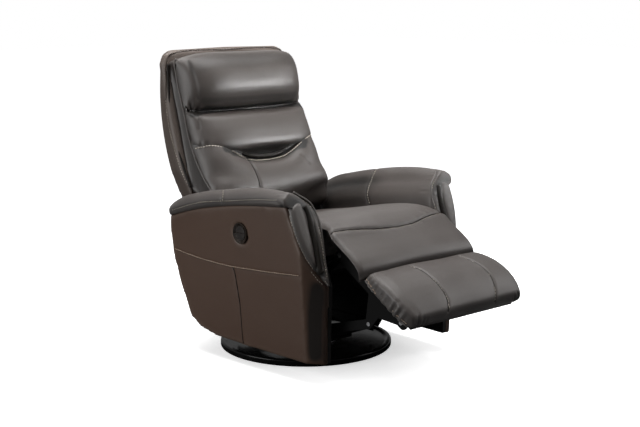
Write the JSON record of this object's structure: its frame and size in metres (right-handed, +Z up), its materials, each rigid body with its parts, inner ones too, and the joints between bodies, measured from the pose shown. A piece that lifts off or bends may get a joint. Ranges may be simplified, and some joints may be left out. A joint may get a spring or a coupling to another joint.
{
  "type": "recliner",
  "caption": "Leather power recliner on a round swivel base, with a gliding seat, folding leg rest, reclining pillow back and padded arms.",
  "frame": {"origin": "on the floor at the centre of the round base, on the swivel axis", "axes": "+Z up, -Y the way the seat faces, +X the sitter's left"},
  "size_m": [0.8154, 1.3, 1.085],
  "materials": {
    "base_gloss": "gloss black enamel",
    "steel_black": "satin black powder coat",
    "steel_plain": "zinc plated",
    "nylon": "natural nylon",
    "plywood": "unfinished plywood",
    "webbing": "black elastic webbing",
    "hide": "dark grey-brown semi-gloss leather",
    "hide_side": "dark brown semi-gloss leather",
    "drive_case": "moulded black",
    "control_gloss": "gloss black",
    "button_satin": "satin black"
  },
  "bodies": {
    "base": {"base_plate": "base_gloss", "swivel_lower_race": "steel_plain", "swivel_balls": "steel_plain", "spindle": "steel_plain"},
    "turntable": {"swivel_plate": "steel_black", "cradle_cross_tubes": "steel_black", "cradle_side_left": "steel_black", "cradle_side_right": "steel_black", "cradle_posts": "steel_black", "glide_upper_pins": "steel_plain"},
    "front_links": {"front_glide_links": "steel_black", "front_link_bushes": "nylon"},
    "rear_links": {"rear_glide_links": "steel_black", "rear_link_bushes": "nylon"},
    "seat": {"side_frame_left": "steel_black", "side_frame_right": "steel_black", "glide_lower_pins": "steel_plain", "rest_hinge_pins": "steel_plain", "seat_front_rail": "plywood", "seat_rear_rail": "plywood", "seat_webbing": "webbing", "seat_cushion": "hide", "arm_brackets": "steel_black", "arm_frame_left": "plywood", "arm_frame_right": "plywood", "arm_outer_left": "hide_side", "arm_outer_right": "hide_side", "arm_pad_left": "hide", "arm_pad_right": "hide", "arm_facing_left": "hide_side", "arm_facing_right": "hide_side", "rear_panel": "hide_side", "power_inlet": "drive_case", "motor_beam": "steel_black", "legrest_gearbox": "drive_case", "legrest_motor": "steel_black", "recline_bracket": "steel_black", "recline_gearbox": "drive_case", "recline_motor": "steel_black", "control_bezel": "control_gloss"},
    "crank": {"torque_tube": "steel_black", "crank_arms": "steel_black"},
    "couplers": {"legrest_couplers": "steel_black", "coupler_pins": "steel_plain"},
    "legrest": {"legrest_arms": "steel_black", "legrest_cross_bars": "steel_black", "legrest_bolts": "steel_plain", "ottoman_board": "plywood", "foot_pad": "hide", "chaise_pad": "hide"},
    "backrest": {"recline_shaft": "steel_plain", "back_brackets": "steel_black", "back_frame": "plywood", "back_shell": "hide_side", "head_pillow": "hide", "mid_pillow": "hide", "lower_back_cushion": "hide"},
    "open_key": {"open_button": "button_satin"},
    "close_key": {"close_button": "button_satin"}
  },
  "joints": [
    {"name": "swivel", "type": "hinge", "parent": "base", "child": "turntable", "pos_m": [0, 0, 0.03], "axis": [0, 0, 1], "continuous": true},
    {"name": "glide", "type": "hinge", "parent": "turntable", "child": "front_links", "pos_m": [0, -0.13, 0.25], "axis": [1, 0, 0], "range_deg": [-14, 14]},
    {"name": "glide_seat", "type": "hinge", "parent": "front_links", "child": "seat", "pos_m": [0, -0.13, 0.08], "axis": [1, 0, 0], "range_deg": [-14, 14]},
    {"name": "glide_rear", "type": "hinge", "parent": "turntable", "child": "rear_links", "pos_m": [0, 0.13, 0.25], "axis": [1, 0, 0], "range_deg": [-14, 14]},
    {"name": "recline", "type": "hinge", "parent": "seat", "child": "backrest", "pos_m": [0, 0.25, 0.43], "axis": [-1, 0, 0], "range_deg": [0, 38]},
    {"name": "legrest_fold", "type": "hinge", "parent": "seat", "child": "legrest", "pos_m": [0, -0.43, 0.434], "axis": [-1, 0, 0], "range_deg": [-55, 24]},
    {"name": "crank_turn", "type": "hinge", "parent": "seat", "child": "crank", "pos_m": [0, -0.11, 0.345], "axis": [-1, 0, 0], "range_deg": [-55, 24]},
    {"name": "coupler_turn", "type": "hinge", "parent": "crank", "child": "couplers", "pos_m": [0, -0.248, 0.136], "axis": [-1, 0, 0], "range_deg": [-24, 55]},
    {"name": "open_press", "type": "slide", "parent": "seat", "child": "open_key", "axis": [1, 0, 0], "range_m": [0, 0.002], "stiffness_N_per_m": 1500},
    {"name": "close_press", "type": "slide", "parent": "seat", "child": "close_key", "axis": [1, 0, 0], "range_m": [0, 0.002], "stiffness_N_per_m": 1500}
  ],
  "couplings": [
    {"joint": "glide_seat", "follows": "glide", "ratio": -1},
    {"joint": "glide_rear", "follows": "glide", "ratio": 1},
    {"joint": "crank_turn", "follows": "legrest_fold", "ratio": 1},
    {"joint": "coupler_turn", "follows": "legrest_fold", "ratio": -1}
  ]
}
